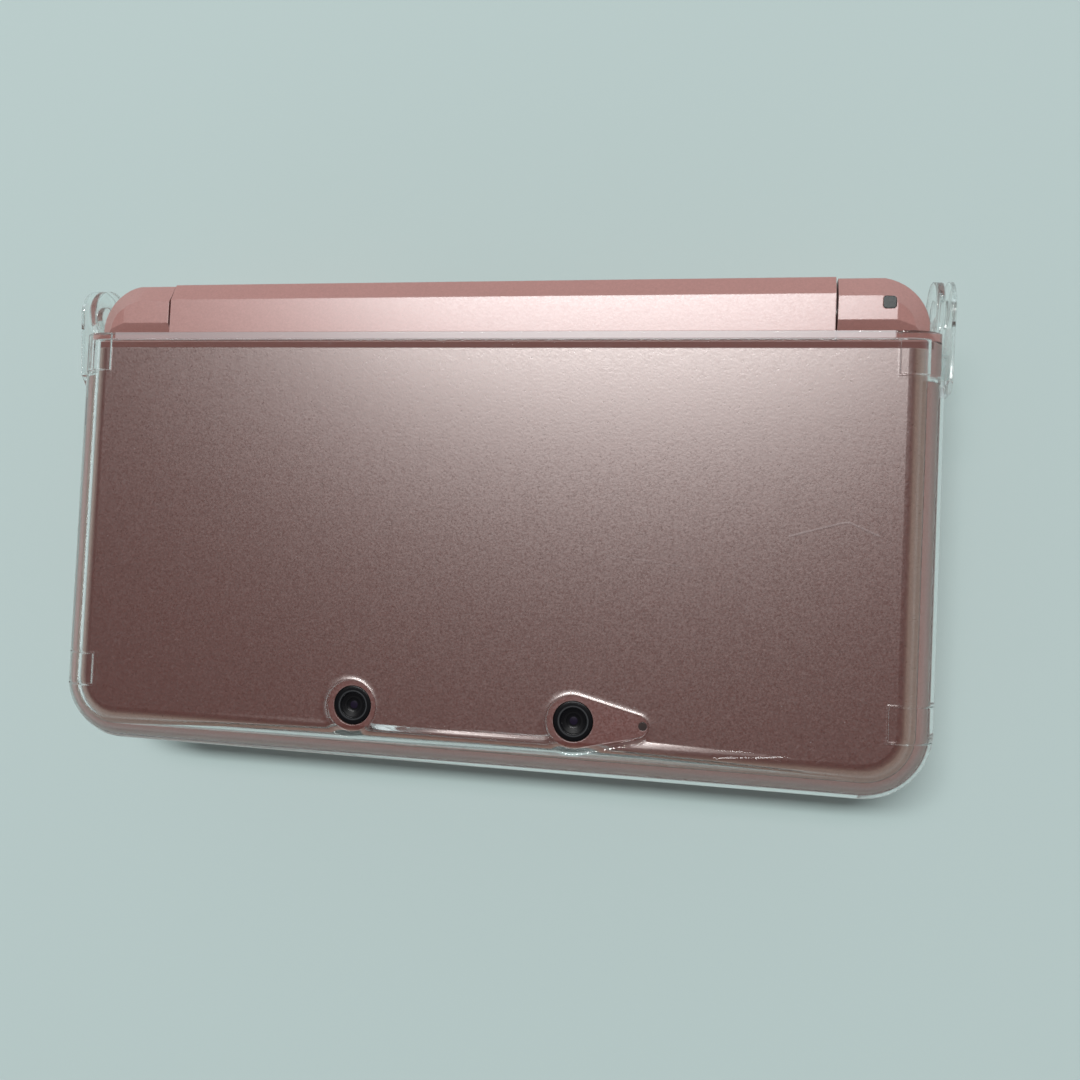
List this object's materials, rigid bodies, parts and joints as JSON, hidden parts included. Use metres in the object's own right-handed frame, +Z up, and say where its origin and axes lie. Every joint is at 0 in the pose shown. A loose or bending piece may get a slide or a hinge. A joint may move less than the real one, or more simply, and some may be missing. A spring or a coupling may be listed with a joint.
{
  "type": "clamshell handheld game console",
  "caption": "Closed clamshell handheld game console with a hinged lid, lens pair, full-width hinge barrel and a clip-on clear case, with working keys, sliders and stylus",
  "frame": {"origin": "centre of the footprint of the console on the flat underside of its clear case", "axes": "+X to the right across the width, +Y from the front edge to the hinge, +Z up, lid closed on top"},
  "size_m": [0.1402, 0.0763, 0.0237],
  "materials": {
    "pearl_pink": "pearl-flake pink lacquer, satin",
    "pearl_plate": "pearl-flake pink lacquer under a clear gloss coat",
    "pink_plastic": "fine-grained pink plastic",
    "dark_plastic": "fine matt grain",
    "gloss_black": "polished black",
    "screen_metal": "tinned sheet",
    "steel": "plain steel",
    "circuit_green": "solder mask",
    "battery_grey": "matt wrap",
    "grey_rubber": "soft matt rubber",
    "key_grey": "satin grey plastic",
    "bush_white": "unfilled nylon",
    "copper_film": "amber film",
    "clear_case": "clear hard plastic",
    "smoke_window": "dark red infrared filter",
    "light_guide": "milky light guide",
    "note_lens": "dark grey-green lens",
    "dot_lens": "dark red-brown lens",
    "card_blue": "fine matt grain",
    "stylus_metal": "drawn tube"
  },
  "bodies": {
    "base": {"base_upper_housing": "pearl_pink", "base_lower_housing": "pink_plastic", "back_cover": "pink_plastic", "back_cover_screws": "steel", "touch_panel": "gloss_black", "lower_screen_module": "screen_metal", "main_board": "circuit_green", "battery": "battery_grey", "card_slot_cage": "screen_metal", "memory_slot_cage": "screen_metal", "radio_board": "circuit_green", "slide_pad_tray": "dark_plastic", "button_sheets": "grey_rubber", "headphone_socket": "dark_plastic", "power_inlet": "dark_plastic", "infrared_window": "smoke_window", "notification_light": "note_lens", "charge_lights": "light_guide", "hinge_shaft": "steel", "hinge_tube": "steel", "shoulder_pins": "steel", "case_base_cover": "clear_case"},
    "lid": {"lid_outer_shell": "pearl_pink", "lid_top_plate": "pearl_plate", "lid_inner_bezel": "pink_plastic", "upper_screen_window": "gloss_black", "upper_screen_module": "screen_metal", "outer_camera_module": "circuit_green", "outer_lens_covers": "gloss_black", "camera_light_guide": "dot_lens", "inner_camera": "dark_plastic", "speaker_modules": "dark_plastic", "depth_slider_board": "circuit_green", "lid_rubber_pads": "grey_rubber", "lid_screws": "steel", "hinge_clutch": "steel", "hinge_bush": "bush_white", "lid_ribbon": "copper_film", "case_lid_cover": "clear_case"},
    "depth_knob": {"depth_slider_knob": "key_grey"},
    "pad_carriage": {"slide_pad_carriage": "key_grey"},
    "pad_cap": {"slide_pad_cap": "key_grey"},
    "cross_pivot": {"direction_pivot": "key_grey"},
    "cross": {"direction_cross": "key_grey"},
    "north": {"button_north": "key_grey"},
    "south": {"button_south": "key_grey"},
    "east": {"button_east": "key_grey"},
    "west": {"button_west": "key_grey"},
    "key_left": {"menu_key_left": "key_grey"},
    "key_middle": {"menu_key_middle": "key_grey"},
    "key_right": {"menu_key_right": "key_grey"},
    "power": {"power_key": "key_grey"},
    "left_shoulder": {"shoulder_left": "key_grey"},
    "right_shoulder": {"shoulder_right": "key_grey"},
    "volume": {"volume_knob": "key_grey"},
    "radio": {"radio_knob": "key_grey"},
    "door": {"memory_door": "pink_plastic"},
    "card": {"memory_card": "card_blue"},
    "stylus": {"stylus_sleeve": "dark_plastic", "stylus_rod": "stylus_metal"}
  },
  "joints": [
    {"name": "lid_hinge", "type": "hinge", "parent": "base", "child": "lid", "pos_m": [0, 0.0321, 0.01635], "axis": [-1, 0, 0], "range_deg": [0, 155]},
    {"name": "depth_slide", "type": "slide", "parent": "lid", "child": "depth_knob", "axis": [0, 1, 0], "range_m": [0, 0.01]},
    {"name": "pad_sideways", "type": "slide", "parent": "base", "child": "pad_carriage", "axis": [1, 0, 0], "range_m": [-0.0022, 0.0022], "stiffness_N_per_m": 150},
    {"name": "pad_lengthways", "type": "slide", "parent": "pad_carriage", "child": "pad_cap", "axis": [0, 1, 0], "range_m": [-0.0022, 0.0022], "stiffness_N_per_m": 150},
    {"name": "cross_rock_sideways", "type": "hinge", "parent": "base", "child": "cross_pivot", "pos_m": [-0.0505, -0.015, 0.01065], "axis": [0, 1, 0], "range_deg": [-3, 3], "stiffness_Nm_per_rad": 0.05},
    {"name": "cross_rock_lengthways", "type": "hinge", "parent": "cross_pivot", "child": "cross", "pos_m": [-0.0505, -0.015, 0.01065], "axis": [1, 0, 0], "range_deg": [-3, 3], "stiffness_Nm_per_rad": 0.05},
    {"name": "press_north", "type": "slide", "parent": "base", "child": "north", "axis": [0, 0, -1], "range_m": [0, 0.0008], "stiffness_N_per_m": 600},
    {"name": "press_south", "type": "slide", "parent": "base", "child": "south", "axis": [0, 0, -1], "range_m": [0, 0.0008], "stiffness_N_per_m": 600},
    {"name": "press_east", "type": "slide", "parent": "base", "child": "east", "axis": [0, 0, -1], "range_m": [0, 0.0008], "stiffness_N_per_m": 600},
    {"name": "press_west", "type": "slide", "parent": "base", "child": "west", "axis": [0, 0, -1], "range_m": [0, 0.0008], "stiffness_N_per_m": 600},
    {"name": "press_key_left", "type": "slide", "parent": "base", "child": "key_left", "axis": [0, 0, -1], "range_m": [0, 0.0004], "stiffness_N_per_m": 900},
    {"name": "press_key_middle", "type": "slide", "parent": "base", "child": "key_middle", "axis": [0, 0, -1], "range_m": [0, 0.0004], "stiffness_N_per_m": 900},
    {"name": "press_key_right", "type": "slide", "parent": "base", "child": "key_right", "axis": [0, 0, -1], "range_m": [0, 0.0004], "stiffness_N_per_m": 900},
    {"name": "press_power", "type": "slide", "parent": "base", "child": "power", "axis": [0, 0, -1], "range_m": [0, 0.0004], "stiffness_N_per_m": 900},
    {"name": "press_left_shoulder", "type": "hinge", "parent": "base", "child": "left_shoulder", "pos_m": [-0.0468, 0.0335, 0.0075], "axis": [0, 0, 1], "range_deg": [0, 3.5], "stiffness_Nm_per_rad": 0.2},
    {"name": "press_right_shoulder", "type": "hinge", "parent": "base", "child": "right_shoulder", "pos_m": [0.0468, 0.0335, 0.0075], "axis": [0, 0, -1], "range_deg": [0, 3.5], "stiffness_Nm_per_rad": 0.2},
    {"name": "volume_slide", "type": "slide", "parent": "base", "child": "volume", "axis": [0, 1, 0], "range_m": [-0.004, 0.004]},
    {"name": "radio_slide", "type": "slide", "parent": "base", "child": "radio", "axis": [0, 1, 0], "range_m": [0, 0.002], "stiffness_N_per_m": 200},
    {"name": "door_swing", "type": "hinge", "parent": "base", "child": "door", "pos_m": [-0.06645, -0.0274, 0.0057], "axis": [0, 0, 1], "range_deg": [0, 100]},
    {"name": "card_push", "type": "slide", "parent": "base", "child": "card", "axis": [1, 0, 0], "range_m": [0, 0.001], "stiffness_N_per_m": 300},
    {"name": "stylus_draw", "type": "slide", "parent": "base", "child": "stylus", "axis": [0, 1, 0], "range_m": [0, 0.055]}
  ]
}
